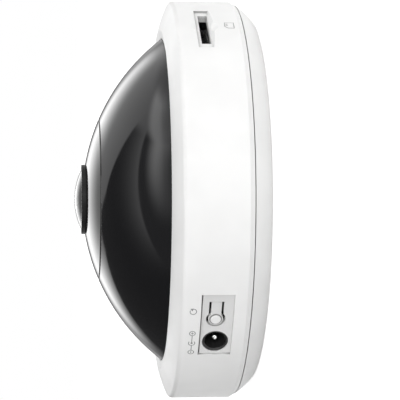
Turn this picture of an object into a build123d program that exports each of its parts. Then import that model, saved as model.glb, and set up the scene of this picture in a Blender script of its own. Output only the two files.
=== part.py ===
from build123d import *
import os
from math import asin, cos, degrees, hypot, radians, sin, sqrt

os.makedirs("parts", exist_ok=True)

# A round indoor network camera with a fisheye lens, lying on its back.
# Millimetres. The origin is the centre of the back face, and +Z is the lens's axis.

# Whole object
total_height = 57.0
wall = 2.4
loose_gap = 0.3
seat_gap = 0.1

# Front housing
lip_thickness = 1.95
lip_setback = 9.5
lip_land = 2.6
lip_chamfer = 0.45
lip_round = 0.6
bevel_mid_setback = 5.6
bevel_mid_drop = 0.9
bevel_drop = 3.05
band_round = 1.5
band_bottom = 7.3
seam_setback = 1.0
seam_rise = 1.5
seam_gap = 0.3
ledge_setback = 6.8
housing_slope_drop = 2.8

# Black dome and its clamp
dome_rim_drop = 0.3
dome_wall = 2.0
flange_thickness = 2.0
gasket_thickness = 0.8
gasket_setback = 0.4
cap_ledge = 1.6
cap_rim_height = 1.2
cap_seat_thickness = 1.7

# Centre cap
cap_radius = 25.95
cap_bore_gap = 0.25
cap_gap = 0.4
cap_round = 0.25
cap_drop = 0.3
cap_skirt_length = 2.5
cap_skirt_wall = 1.5

# Lens
lens_dome_radius = 9.8
lens_bulge = 2.2
lens_edge_margin = 0.2
lens_edge_thickness = 1.6
lens_back_radius = 6.6
lens_back_rise = 2.6
bezel_wall = 1.6
bezel_height = 1.75
bezel_lip = 0.6
bezel_round = 0.35
bezel_skirt_wall = 0.35
bezel_skirt_overlap = 2.0
barrel_head_length = 6.0
barrel_cone_length = 2.5
barrel_neck_radius = 8.0
thread_radius = 5.95
barrel_floor = 0.9
barrel_window_radius = 3.4
front_bore_radius = 7.6
rear_bore_radius = 4.6
spacer_height = 2.8
second_lens_height = 2.9
second_lens_rim = 0.9
second_lens_dish = 1.0
second_back_rise = 1.1
spacer_wall = 0.8
rear_lens_edge = 2.3
rear_lens_bulge = 1.1
rear_lens_back_bulge = 0.6
glass_gap = 0.1

# Lens holder with the infrared filter's slide
holder_width = 28.0
holder_front = -9.0
holder_back = 18.6
holder_corner = 3.0
tunnel_height = 2.3
deck_thickness = 1.9
holder_shelf = 1.2
holder_tube_radius = 8.2
holder_tube_gap = 1.0
holder_window_radius = 4.2
holder_thread_gap = 0.08
filter_travel = 7.0
filter_window = 6.4
filter_rim = 0.9
filter_height = 0.9
filter_tab_reach = 8.5
filter_tab_width = 4.4
filter_glass_ledge = 0.5
filter_glass_thickness = 0.5
filter_shelf_gap = 0.2
rotor_y = 13.2
rotor_radius = 2.6
rotor_height = 5.0
rotor_shaft_radius = 0.75
shaft_gap = 0.05
arm_length = 7.2
arm_width = 1.8
arm_thickness = 0.6
arm_drop = 0.9
pin_radius = 0.5
pin_slot_gap = 0.2
pin_slot_length = 2.6
pin_clearance_height = 0.1
coil_inner_radius = 3.0
coil_outer_radius = 4.6
coil_height = 5.2

# Boards and chassis
board_thickness = 1.6
standoff_length = 3.4
sensor_width = 9.6
sensor_depth = 7.6
sensor_thickness = 1.0
holder_screw_x = 10.6
holder_screw_front = -6.9
holder_screw_back = 16.0
small_screw_radius = 0.8
small_head_radius = 1.5
small_head_height = 1.2
small_screw_length = 3.4
chassis_gap = 0.8
chassis_post_length = 2.0
chassis_thickness = 2.0
chassis_hole_radius = 15.5
chassis_screw_setback = 2.6
chassis_screw_angle = 32.5
chassis_boss_radius = 2.0
chassis_screw_bite = 2.0
chassis_window_radius = 33.5
chassis_window_width = 7.0
chassis_window_sweep = 48.0
chassis_window_offset = 21.0
screw_radius = 1.2
screw_head_radius = 1.9
screw_head_height = 1.4
pilot_gap = 0.05
standoff_radius = 2.2
sensor_standoff_circle = 20.5
led_standoff_setback = 4.0
standoff_sides = 6
quarter_count = 4
quarter_angle = 10.0
led_board_gap = 6.6
led_count = 12
led_circle = 35.0
led_size = 3.5
led_base = 1.0
led_lens_radius = 1.5
light_sensor_setback = 2.5
light_sensor_radius = 1.4
light_sensor_height = 2.2
shroud_margin = 0.25
shroud_gap = 1.0
shroud_wall = 1.6
main_board_gap = 0.7
board_screw_setback = 5.5
board_post_radius = 3.0
ribbon_width = 9.0
ribbon_thickness = 0.3
ribbon_start = -4.0
ribbon_turn = 8.0
ribbon_end = 4.0
ribbon_socket_length = 3.6
ribbon_socket_width = 11.0
ribbon_socket_height = 1.4
processor_x = -22.0
processor_y = 22.0
processor_size = 15.0
processor_thickness = 1.4
pad_thickness = 1.0
heat_sink_size = 24.0
heat_sink_base = 1.8
fin_height = 5.2
fin_thickness = 1.3
fin_count = 6
capacitor_radius = 3.15
capacitor_height = 7.5
capacitor_spacing = 8.0
capacitor_x = 26.0
capacitor_y = 14.0

# Port panel with the power jack and the reset tongue
panel_angle = 234.3
panel_length = 23.1
panel_width = 9.85
panel_drop = 3.1
panel_depth = 1.5
panel_thickness = 1.6
panel_gap = 0.03
panel_end_gap = 0.3
panel_front_gap = 0.5
panel_ledge = 1.0
panel_ledge_thickness = 1.2
pad_margin = 1.4
jack_offset = -6.65
jack_drop = 3.2
jack_barrel_radius = 3.8
jack_barrel_gap = 0.15
jack_bore_radius = 3.15
jack_bore_depth = 9.5
jack_chamfer = 0.3
jack_face_drop = 0.15
jack_width = 9.0
jack_tall = 8.0
jack_depth = 9.9
jack_ear = 0.8
jack_ear_length = 6.0
jack_ear_setback = 1.5
jack_pin_radius = 1.0
jack_pin_drop = 1.4
jack_pin_round = 0.8
jack_pin_tail = 0.6
tongue_offset = 1.98
tongue_drop = 2.85
tongue_reach = 6.6
tongue_half_width = 1.52
tongue_tip_radius = 2.21
tongue_slot = 0.7
tongue_thickness = 1.2
tongue_root_gap = 0.1
tongue_nub_radius = 1.0
tongue_nub_length = 1.0
dot_radius = 1.6
dot_height = 0.45
dot_round = 0.35
dot_groove = 0.3
dot_groove_depth = 0.4
switch_width = 6.2
switch_depth = 3.6
switch_setback = 1.1
plunger_radius = 1.5
plunger_bore_gap = 0.06
plunger_gap = 0.1
plunger_tail = 2.6
reset_travel = 0.38
port_tab_gap = 0.8
port_tab_start = -12.6
port_tab_end = 8.0

# Card slot
card_angle = 324.8
card_recess_length = 22.9
card_recess_width = 5.7
card_drop = 1.15
card_recess_depth = 1.6
card_rear_slope = 1.3
card_front_slope = 0.45
card_slot_length = 17.6
card_slot_width = 2.9
card_slot_shift = 0.4
card_slot_depth = 2.2
finger_radius = 7.0
finger_reach = 4.1
socket_width = 14.6
socket_length = 14.8
socket_setback = 2.0
socket_height = 2.0
socket_base_thickness = 0.6
socket_sheet = 0.25
socket_lip = 0.6
carriage_width = 2.4
carriage_length = 6.0
carriage_arm = 1.2
carriage_arm_reach = 10.6
carriage_gap = 0.2
carriage_travel = 4.2
card_tab_width = 18.0
card_tab_gap = 0.6

# Network socket in the back
network_width = 16.0
network_height = 12.1
network_depth = 13.5
network_sheet = 0.3
network_mouth_width = 11.9
network_mouth_height = 7.0
network_latch_width = 6.0
network_latch_height = 1.6
network_cavity = 10.4
contact_count = 8
contact_pitch = 1.02
contact_width = 0.4
contact_thickness = 0.35
contact_reach = 3.0
contact_rise = 4.0

# Rear cover
cover_taper = 5.1
back_bulge = 0.25
back_round = 0.6
cover_floor = 2.4
recess_height = 4.6
recess_floor = 2.2
spigot_height = 3.4
spigot_wall = 2.3
spigot_notch = 6.6
plug_window_width = 13.6
plug_window_depth = 10.6
window_round = 1.5
cover_screw_clearance = 6.2
cover_screw_margin = 3.9
cover_screw_radius = 1.5
cover_head_radius = 2.6
cover_head_height = 2.0
cover_head_drop = 1.0
cover_boss_radius = 4.0
housing_boss_radius = 2.8
web_thickness = 1.6
cover_screw_stop = 1.6

# Twist-lock mounting plate
plate_margin = 4.45
plate_gap = 0.5
plate_thickness = 2.6
cable_hole_radius = 18.0
collar_wall = 2.5
lug_count = 3
lug_angle = 45.0
lug_circle = 36.0
stem_width = 2.4
stem_sweep = 6.0
head_width = 5.6
head_sweep = 9.0
head_thickness = 1.3
lock_turn = 20.0
slot_side_gap = 0.4
slot_end_sweep = 0.8
wall_hole_radius = 2.25
wall_hole_sink_radius = 3.8
wall_hole_sink_angle = 90
wall_hole_spacing = 60.0
box_hole_spacing = 83.3

# Radii that follow, from the mounting plate outwards
plate_radius = box_hole_spacing / 2 + plate_margin
recess_radius = plate_radius + plate_gap
recess_wall_radius = recess_radius + recess_floor
cover_screw_circle = recess_wall_radius + cover_screw_clearance
back_radius = cover_screw_circle + cover_screw_margin
seam_radius = back_radius + cover_taper
body_radius = seam_radius + seam_setback
housing_inner_radius = body_radius - wall
bevel_mid_radius = body_radius - bevel_mid_setback
lip_radius = body_radius - lip_setback
lip_bore_radius = lip_radius - lip_land
ledge_radius = body_radius - ledge_setback
flange_radius = ledge_radius - 2 * loose_gap
gasket_inner_radius = lip_bore_radius + gasket_setback
dome_skirt_radius = lip_bore_radius - loose_gap
dome_inner_radius = dome_skirt_radius - dome_wall
chassis_radius = housing_inner_radius - chassis_gap
chassis_screw_circle = housing_inner_radius - chassis_screw_setback
main_board_radius = cover_screw_circle - housing_boss_radius - main_board_gap
board_screw_circle = main_board_radius - board_screw_setback
led_board_radius = dome_inner_radius - led_board_gap
led_standoff_circle = led_board_radius - led_standoff_setback
light_sensor_circle = led_board_radius - light_sensor_setback

# Heights that follow, from the back upwards
recess_top = recess_height + recess_floor
network_bottom = recess_top + seat_gap
main_board_bottom = network_bottom + network_height
main_board_top = main_board_bottom + board_thickness
housing_boss_top = main_board_top
cover_screw_top = housing_boss_top - cover_screw_stop
chassis_bottom = main_board_top + chassis_post_length
chassis_top = chassis_bottom + chassis_thickness
flange_top = chassis_top + flange_thickness
ledge_height = flange_top + gasket_thickness
lip_height = ledge_height + lip_thickness
lip_bore_height = lip_height - lip_chamfer
bevel_mid_height = lip_height - bevel_mid_drop
band_top = lip_height - bevel_drop
seam_height = band_bottom - seam_rise
sensor_board_bottom = chassis_top + standoff_length
sensor_board_top = sensor_board_bottom + board_thickness
filter_bottom = sensor_board_top + holder_shelf + filter_shelf_gap
deck_bottom = sensor_board_top + holder_shelf + tunnel_height
deck_top = deck_bottom + deck_thickness
arm_height = deck_bottom - arm_drop
barrel_bottom = deck_top + loose_gap

# The lens and the dome, from the glass downwards
lens_dome_base = total_height - lens_bulge
lens_edge_radius = lens_dome_radius + lens_edge_margin
lens_edge_height = lens_dome_base - bezel_lip
lens_seat_height = lens_edge_height - lens_edge_thickness
bezel_radius = lens_dome_radius + bezel_wall
bezel_bottom = lens_dome_base - bezel_height
bezel_bore_radius = lens_edge_radius + glass_gap
bezel_skirt_radius = bezel_bore_radius + bezel_skirt_wall
bezel_skirt_bottom = lens_seat_height - bezel_skirt_overlap
barrel_radius = lens_edge_radius
barrel_head_bottom = lens_seat_height - barrel_head_length
barrel_cone_bottom = barrel_head_bottom - barrel_cone_length
second_seat_height = lens_seat_height - spacer_height - second_lens_height
holder_tube_top = barrel_cone_bottom - holder_tube_gap
cap_bore_radius = bezel_radius + cap_bore_gap
cap_seat_radius = cap_radius + cap_gap
cap_hole_radius = cap_seat_radius - cap_ledge
shroud_inner_radius = cap_hole_radius + shroud_margin
led_board_inner_radius = shroud_inner_radius + shroud_wall + 2 * loose_gap
sensor_board_radius = shroud_inner_radius - shroud_gap
dome_crown = lens_dome_base - cap_drop
dome_rise = dome_crown - lip_bore_height + dome_rim_drop
dome_radius = (lip_bore_radius**2 + dome_rise**2) / (2 * dome_rise)
dome_centre = dome_crown - dome_radius

# The filter's swing and the ports in the rim
filter_pitch = filter_travel
filter_half_turn = degrees(asin(filter_travel / 2 / arm_length))
panel_face = body_radius - panel_depth
panel_back = panel_face - panel_thickness
panel_pad_face = panel_back - panel_ledge_thickness
panel_height = main_board_bottom - panel_drop
jack_face = panel_face - jack_face_drop
jack_height = main_board_bottom - jack_drop
jack_hole_radius = jack_barrel_radius + jack_barrel_gap
tongue_height = main_board_bottom - tongue_drop
switch_face = panel_pad_face - switch_setback
port_tab_reach = panel_pad_face - port_tab_gap
card_recess_face = body_radius - card_recess_depth
card_pad_face = card_recess_face - card_slot_depth
card_recess_height = main_board_bottom - card_drop
socket_face = card_pad_face - socket_setback
card_tab_reach = socket_face - card_tab_gap


def polar(radius, angle):
    """Point at a radius and an angle about the axis."""
    return (radius * cos(radians(angle)), radius * sin(radians(angle)))


def sphere_height(radius, sphere):
    """Height on the dome's sphere, or on one inside it, at a radius from the axis."""
    return dome_centre + sqrt(sphere**2 - radius**2)


def sphere_arc(start, end, sphere):
    """Arc of the dome's section between two radii."""
    middle = (start + end) / 2
    return ThreePointArc(
        (start, sphere_height(start, sphere)),
        (middle, sphere_height(middle, sphere)),
        (end, sphere_height(end, sphere)),
    )


def rim_plane(angle, distance, height):
    """Plane that faces outwards on the rim: its x runs round the rim and its y runs up."""
    x, y = polar(distance, angle)
    return Plane(
        origin=(x, y, height),
        x_dir=(-sin(radians(angle)), cos(radians(angle)), 0),
        z_dir=(cos(radians(angle)), sin(radians(angle)), 0),
    )


def rim_section(angle):
    """Plane through the axis: its x runs outwards at an angle and its y runs up."""
    x, y = polar(1, angle)
    return Plane(origin=(0, 0, 0), x_dir=(x, y, 0), z_dir=(y, -x, 0))


def ring_sector(inner, outer, start, end):
    """Flat piece of a ring between two radii and two angles."""
    with BuildSketch() as sector:
        with BuildLine():
            CenterArc((0, 0), inner, start, end - start)
            CenterArc((0, 0), outer, start, end - start)
            Line(polar(inner, start), polar(outer, start))
            Line(polar(inner, end), polar(outer, end))
        make_face()
    return sector.sketch


def quarter_points(radius, first):
    """Places on a circle, a quarter turn apart."""
    return PolarLocations(radius, quarter_count, start_angle=first)


def save(part, name):
    """Label a finished piece and write it."""
    part.label = name
    export_step(part, f"parts/{name}.step")


# Front housing: lip, bevel, band and seam chamfer as one turned shell
with BuildPart() as front_housing:
    with BuildSketch(Plane.XZ) as housing_profile:
        with BuildLine():
            Line((lip_bore_radius, ledge_height), (lip_bore_radius, lip_bore_height))
            Line((lip_bore_radius, lip_bore_height), (lip_radius, lip_height))
            ThreePointArc(
                (lip_radius, lip_height),
                (bevel_mid_radius, bevel_mid_height),
                (body_radius, band_top),
            )
            Polyline(
                (body_radius, band_top),
                (body_radius, band_bottom),
                (seam_radius, seam_height),
                (housing_inner_radius, seam_height),
                (housing_inner_radius, ledge_height - housing_slope_drop),
                (ledge_radius, ledge_height),
                (lip_bore_radius, ledge_height),
            )
        make_face()
        fillet(housing_profile.vertices().sort_by_distance((lip_radius, lip_height))[0], lip_round)
        fillet(housing_profile.vertices().sort_by_distance((body_radius, band_top))[0], band_round)
    revolve(axis=Axis.Z)

    # Short bosses under the front wall, for the chassis screws
    with BuildSketch(Plane.XY.offset(chassis_top)):
        with quarter_points(chassis_screw_circle, chassis_screw_angle):
            Circle(chassis_boss_radius)
    extrude(amount=ledge_height - chassis_top)

    # Long bosses with a web to the wall, for the rear cover's screws
    with BuildSketch(Plane.XY.offset(recess_top + seat_gap)):
        with quarter_points(cover_screw_circle, quarter_angle):
            Circle(housing_boss_radius)
            web_length = housing_inner_radius - cover_screw_circle + wall / 2
            Rectangle(web_length, web_thickness, align=(Align.MIN, Align.CENTER))
    extrude(amount=housing_boss_top - recess_top - seat_gap)

    # Flat pads behind the port panel and the card slot
    with BuildSketch(rim_plane(panel_angle, panel_pad_face, panel_height)):
        Rectangle(panel_length + 2 * pad_margin, panel_width + 2 * pad_margin)
    extrude(amount=housing_inner_radius + seat_gap - panel_pad_face)
    with BuildSketch(rim_plane(card_angle, card_pad_face, card_recess_height)):
        Rectangle(card_recess_length + 2 * pad_margin, card_recess_width + 2 * pad_margin)
    extrude(amount=housing_inner_radius + seat_gap - card_pad_face)

    # Pocket and window for the port panel
    with BuildSketch(rim_plane(panel_angle, panel_back, panel_height)):
        Rectangle(panel_length, panel_width)
    extrude(amount=body_radius - panel_back, mode=Mode.SUBTRACT)
    with BuildSketch(rim_plane(panel_angle, panel_back, panel_height)):
        Rectangle(panel_length - 2 * panel_ledge, panel_width - 2 * panel_ledge)
    extrude(amount=-panel_ledge_thickness, mode=Mode.SUBTRACT)

    # Recess, slot and finger reliefs for the memory card
    card_rear_edge = card_recess_height - card_recess_width / 2
    card_front_edge = card_recess_height + card_recess_width / 2
    with BuildSketch(rim_section(card_angle)):
        with BuildLine():
            Polyline(
                (card_recess_face, card_rear_edge + card_rear_slope),
                (body_radius, card_rear_edge),
                (body_radius, card_front_edge),
                (card_recess_face, card_front_edge - card_front_slope),
                (card_recess_face, card_rear_edge + card_rear_slope),
            )
        make_face()
    extrude(amount=card_recess_length / 2, both=True, mode=Mode.SUBTRACT)
    with BuildSketch(rim_plane(card_angle, card_pad_face, card_recess_height)):
        with Locations((card_slot_shift, 0)):
            Rectangle(card_slot_length, card_slot_width)
    extrude(amount=card_slot_depth, mode=Mode.SUBTRACT)
    finger_distance = body_radius + sqrt(finger_radius**2 - finger_reach**2)
    with Locations((*polar(finger_distance, card_angle), card_recess_height)):
        Sphere(finger_radius, mode=Mode.SUBTRACT)

    # Pilot holes for both sets of screws
    with BuildSketch(Plane.XY.offset(chassis_top)):
        with quarter_points(chassis_screw_circle, chassis_screw_angle):
            Circle(screw_radius + pilot_gap)
    extrude(amount=chassis_screw_bite + seat_gap, mode=Mode.SUBTRACT)
    with BuildSketch(Plane.XY.offset(recess_top + seat_gap)):
        with quarter_points(cover_screw_circle, quarter_angle):
            Circle(cover_screw_radius + pilot_gap)
    extrude(amount=cover_screw_top + seat_gap - recess_top, mode=Mode.SUBTRACT)
save(front_housing.part, "front_housing")

# Black dome: a spherical shell with a straight skirt, a flange and a stepped centre hole
inner_sphere = dome_radius - dome_wall
cap_seat_height = sphere_height(cap_radius, dome_radius) - cap_rim_height
cap_seat_bottom = cap_seat_height - cap_seat_thickness
cap_seat_edge = sqrt(inner_sphere**2 - (cap_seat_bottom - dome_centre) ** 2)
cap_seat_rim = (cap_seat_radius, sphere_height(cap_seat_radius, dome_radius))
cap_rim = (cap_radius, sphere_height(cap_radius, dome_radius))
with BuildPart() as dome_cover:
    with BuildSketch(Plane.XZ) as dome_profile:
        with BuildLine():
            sphere_arc(cap_seat_radius, dome_skirt_radius, dome_radius)
            Polyline(
                (dome_skirt_radius, sphere_height(dome_skirt_radius, dome_radius)),
                (dome_skirt_radius, flange_top),
                (flange_radius, flange_top),
                (flange_radius, chassis_top),
                (dome_inner_radius, chassis_top),
                (dome_inner_radius, sphere_height(dome_inner_radius, inner_sphere)),
            )
            sphere_arc(dome_inner_radius, cap_seat_edge, inner_sphere)
            Polyline(
                (cap_seat_edge, cap_seat_bottom),
                (cap_hole_radius, cap_seat_bottom),
                (cap_hole_radius, cap_seat_height),
                (cap_seat_radius, cap_seat_height),
                cap_seat_rim,
            )
        make_face()
        fillet(dome_profile.vertices().sort_by_distance(cap_seat_rim)[0], cap_round)
    revolve(axis=Axis.Z)
save(dome_cover.part, "dome_cover")

# Soft ring between the dome's flange and the housing
with BuildPart() as dome_gasket:
    with BuildSketch(Plane.XY.offset(flange_top)):
        Circle(flange_radius)
        Circle(gasket_inner_radius, mode=Mode.SUBTRACT)
    extrude(amount=gasket_thickness)
save(dome_gasket.part, "dome_gasket")

# Centre cap, flush with the dome, with a skirt that drops into the dome's hole
cap_skirt_radius = cap_hole_radius - loose_gap
cap_skirt_inner = cap_skirt_radius - cap_skirt_wall
with BuildPart() as centre_cap:
    with BuildSketch(Plane.XZ) as cap_profile:
        with BuildLine():
            sphere_arc(cap_bore_radius, cap_radius, dome_radius)
            Polyline(
                cap_rim,
                (cap_radius, cap_seat_height),
                (cap_skirt_radius, cap_seat_height),
                (cap_skirt_radius, cap_seat_height - cap_skirt_length),
                (cap_skirt_inner, cap_seat_height - cap_skirt_length),
                (cap_skirt_inner, sphere_height(cap_skirt_inner, inner_sphere)),
            )
            sphere_arc(cap_skirt_inner, cap_bore_radius, inner_sphere)
            Line(
                (cap_bore_radius, sphere_height(cap_bore_radius, inner_sphere)),
                (cap_bore_radius, sphere_height(cap_bore_radius, dome_radius)),
            )
        make_face()
        fillet(cap_profile.vertices().sort_by_distance(cap_rim)[0], cap_round)
    revolve(axis=Axis.Z)
save(centre_cap.part, "centre_cap")

# Rounded ring that screws on the barrel and holds the front glass
with BuildPart() as lens_bezel:
    with BuildSketch(Plane.XZ) as bezel_profile:
        with BuildLine():
            Polyline(
                (lens_dome_radius, lens_dome_base),
                (bezel_radius, lens_dome_base),
                (bezel_radius, bezel_bottom),
                (bezel_skirt_radius, bezel_bottom),
                (bezel_skirt_radius, bezel_skirt_bottom),
                (bezel_bore_radius, bezel_skirt_bottom),
                (bezel_bore_radius, lens_edge_height),
                (lens_dome_radius, lens_edge_height),
                (lens_dome_radius, lens_dome_base),
            )
        make_face()
        outer_corners = bezel_profile.vertices().group_by(Axis.X)[-1]
        fillet(outer_corners, bezel_round)
    revolve(axis=Axis.Z)
save(lens_bezel.part, "lens_bezel")

# Front glass: a strongly bulged meniscus
with BuildPart() as front_lens:
    with BuildSketch(Plane.XZ):
        lens_crown_edge = lens_dome_radius - glass_gap
        lens_crown_rise = total_height - lens_dome_base
        lens_crown_radius = (lens_crown_edge**2 + lens_crown_rise**2) / (2 * lens_crown_rise)
        lens_back_curve = (lens_back_radius**2 + lens_back_rise**2) / (2 * lens_back_rise)
        with BuildLine():
            RadiusArc((0, total_height), (lens_crown_edge, lens_dome_base), lens_crown_radius)
            Polyline(
                (lens_crown_edge, lens_dome_base),
                (lens_crown_edge, lens_edge_height),
                (lens_edge_radius, lens_edge_height),
                (lens_edge_radius, lens_seat_height),
                (lens_back_radius, lens_seat_height),
            )
            RadiusArc(
                (0, lens_seat_height + lens_back_rise),
                (lens_back_radius, lens_seat_height),
                lens_back_curve,
            )
            Line((0, lens_seat_height + lens_back_rise), (0, total_height))
        make_face()
    revolve(axis=Axis.Z)
save(front_lens.part, "front_lens")

# Barrel: wide head, cone and threaded neck, with stepped bores for the glass
with BuildPart() as lens_barrel:
    with BuildSketch(Plane.XZ):
        with BuildLine():
            Polyline(
                (barrel_radius, lens_seat_height),
                (barrel_radius, barrel_head_bottom),
                (barrel_neck_radius, barrel_cone_bottom),
                (thread_radius, barrel_cone_bottom),
                (thread_radius, barrel_bottom),
                (barrel_window_radius, barrel_bottom),
                (barrel_window_radius, barrel_bottom + barrel_floor),
                (rear_bore_radius, barrel_bottom + barrel_floor),
                (rear_bore_radius, second_seat_height),
                (front_bore_radius, second_seat_height),
                (front_bore_radius, lens_seat_height),
                (barrel_radius, lens_seat_height),
            )
        make_face()
    revolve(axis=Axis.Z)
save(lens_barrel.part, "lens_barrel")

# Spacer ring between the first two glasses
second_lens_radius = front_bore_radius - glass_gap
second_lens_top = second_seat_height + second_lens_height
with BuildPart() as lens_spacer:
    with BuildSketch(Plane.XY.offset(second_lens_top)):
        Circle(second_lens_radius)
        Circle(second_lens_radius - spacer_wall, mode=Mode.SUBTRACT)
    extrude(amount=lens_seat_height - second_lens_top)
save(lens_spacer.part, "lens_spacer")

# Second glass, hollow on both sides
with BuildPart() as second_lens:
    with BuildSketch(Plane.XZ):
        dish_radius = second_lens_radius - second_lens_rim
        dish_curve = (dish_radius**2 + second_lens_dish**2) / (2 * second_lens_dish)
        dish_floor = second_lens_top - second_lens_dish
        back_curve = (rear_bore_radius**2 + second_back_rise**2) / (2 * second_back_rise)
        back_crown = second_seat_height + second_back_rise
        with BuildLine():
            RadiusArc((dish_radius, second_lens_top), (0, dish_floor), dish_curve)
            Polyline(
                (dish_radius, second_lens_top),
                (second_lens_radius, second_lens_top),
                (second_lens_radius, second_seat_height),
                (rear_bore_radius, second_seat_height),
            )
            RadiusArc((0, back_crown), (rear_bore_radius, second_seat_height), back_curve)
            Line((0, back_crown), (0, dish_floor))
        make_face()
    revolve(axis=Axis.Z)
save(second_lens.part, "second_lens")

# Rear glass, bulged on both sides, on the barrel's floor
with BuildPart() as rear_lens:
    with BuildSketch(Plane.XZ):
        rear_radius = rear_bore_radius - glass_gap
        rear_seat = barrel_bottom + barrel_floor
        rear_top = rear_seat + rear_lens_edge
        bulge_curve = (rear_radius**2 + rear_lens_bulge**2) / (2 * rear_lens_bulge)
        window_radius = barrel_window_radius - glass_gap
        window_curve = (window_radius**2 + rear_lens_back_bulge**2) / (2 * rear_lens_back_bulge)
        with BuildLine():
            RadiusArc((0, rear_top + rear_lens_bulge), (rear_radius, rear_top), bulge_curve)
            Polyline((rear_radius, rear_top), (rear_radius, rear_seat), (window_radius, rear_seat))
            RadiusArc((window_radius, rear_seat), (0, rear_seat - rear_lens_back_bulge), window_curve)
            Line((0, rear_seat - rear_lens_back_bulge), (0, rear_top + rear_lens_bulge))
        make_face()
    revolve(axis=Axis.Z)
save(rear_lens.part, "rear_lens")

# Holder: threaded tube on a deck, with the filter's tunnel and the rotor's bearing below
tunnel_reach = filter_travel + filter_window / 2 + filter_rim + 2 * loose_gap
tunnel_side = filter_window / 2 + filter_rim + loose_gap
with BuildPart() as lens_holder:
    with BuildSketch(Plane.XY.offset(sensor_board_top)) as holder_outline:
        with Locations((0, (holder_front + holder_back) / 2)):
            Rectangle(holder_width, holder_back - holder_front)
        fillet(holder_outline.vertices(), holder_corner)
    extrude(amount=deck_top - sensor_board_top)
    with BuildSketch(Plane.XY.offset(deck_top)):
        Circle(holder_tube_radius)
    extrude(amount=holder_tube_top - deck_top)

    # Tunnel for the sliding frame, open at one end, and the space for the rotor's arm
    with BuildSketch(Plane.XY.offset(sensor_board_top + holder_shelf)):
        with Locations((-holder_width / 2, 0)):
            Rectangle(
                holder_width / 2 + tunnel_reach,
                2 * tunnel_side,
                align=(Align.MIN, Align.CENTER),
            )
        Rectangle(
            filter_travel + filter_tab_width + 2 * loose_gap,
            filter_tab_reach + loose_gap,
            align=(Align.CENTER, Align.MIN),
        )
        with Locations((0, rotor_y)):
            Circle(arm_width)
        arm_space = arm_length * sin(radians(filter_half_turn)) + arm_width
        with Locations((0, tunnel_side)):
            Rectangle(2 * arm_space, rotor_y - tunnel_side, align=(Align.CENTER, Align.MIN))
    extrude(amount=deck_bottom - sensor_board_top - holder_shelf, mode=Mode.SUBTRACT)

    # Window for the sensor, the light path, the lens thread and the rotor's bore
    with BuildSketch(Plane.XY.offset(sensor_board_top)):
        Rectangle(sensor_width + 2 * loose_gap, sensor_depth + 2 * loose_gap)
    extrude(amount=holder_shelf, mode=Mode.SUBTRACT)
    with BuildSketch(Plane.XY.offset(deck_bottom)):
        Circle(holder_window_radius)
        with Locations((0, rotor_y)):
            Circle(rotor_shaft_radius + shaft_gap)
    extrude(amount=deck_top - deck_bottom, mode=Mode.SUBTRACT)
    with BuildSketch(Plane.XY.offset(deck_top)):
        Circle(thread_radius + holder_thread_gap)
    extrude(amount=holder_tube_top - deck_top, mode=Mode.SUBTRACT)
    holder_screw_places = [
        (side * holder_screw_x, place)
        for side in (-1, 1)
        for place in (holder_screw_front, holder_screw_back)
    ]
    with BuildSketch(Plane.XY.offset(sensor_board_top)):
        with Locations(*holder_screw_places):
            Circle(small_screw_radius + pilot_gap)
    extrude(amount=small_screw_length - board_thickness + seat_gap, mode=Mode.SUBTRACT)
save(lens_holder.part, "lens_holder")

# Screws from under the sensor board into the holder
with BuildPart() as holder_screws:
    with BuildSketch(Plane.XY.offset(sensor_board_bottom - small_head_height)):
        with Locations(*holder_screw_places):
            Circle(small_head_radius)
    extrude(amount=small_head_height)
    with BuildSketch(Plane.XY.offset(sensor_board_bottom)):
        with Locations(*holder_screw_places):
            Circle(small_screw_radius)
    extrude(amount=small_screw_length)
save(holder_screws.part, "holder_screws")

# Sliding frame with an infrared-cut window and a clear window side by side
frame_centre = -filter_pitch / 2
frame_length = filter_pitch + filter_window + 2 * filter_rim
with BuildPart() as ir_filter_frame:
    with BuildSketch(Plane.XY.offset(filter_bottom)):
        with Locations((frame_centre, 0)):
            Rectangle(frame_length, filter_window + 2 * filter_rim)
            Rectangle(filter_tab_width, filter_tab_reach, align=(Align.CENTER, Align.MIN))
        with Locations((0, 0), (-filter_pitch, 0)):
            Rectangle(
                filter_window - 2 * filter_glass_ledge,
                filter_window - 2 * filter_glass_ledge,
                mode=Mode.SUBTRACT,
            )
        pin_far = rotor_y - arm_length * cos(radians(filter_half_turn))
        pin_near = rotor_y - arm_length
        with Locations((frame_centre, (pin_far + pin_near) / 2)):
            Rectangle(2 * (pin_radius + pin_slot_gap), pin_slot_length, mode=Mode.SUBTRACT)
    extrude(amount=filter_height)
    with BuildSketch(Plane.XY.offset(filter_bottom + filter_height - filter_glass_thickness)):
        with Locations((0, 0), (-filter_pitch, 0)):
            Rectangle(filter_window, filter_window)
    extrude(amount=filter_glass_thickness, mode=Mode.SUBTRACT)
save(ir_filter_frame.part, "ir_filter_frame")

# The two glasses in the frame
with BuildPart() as ir_filter_glass:
    with BuildSketch(Plane.XY.offset(filter_bottom + filter_height - filter_glass_thickness)):
        with Locations((0, 0), (-filter_pitch, 0)):
            Rectangle(filter_window - 2 * glass_gap, filter_window - 2 * glass_gap)
    extrude(amount=filter_glass_thickness)
save(ir_filter_glass.part, "ir_filter_glass")

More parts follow.
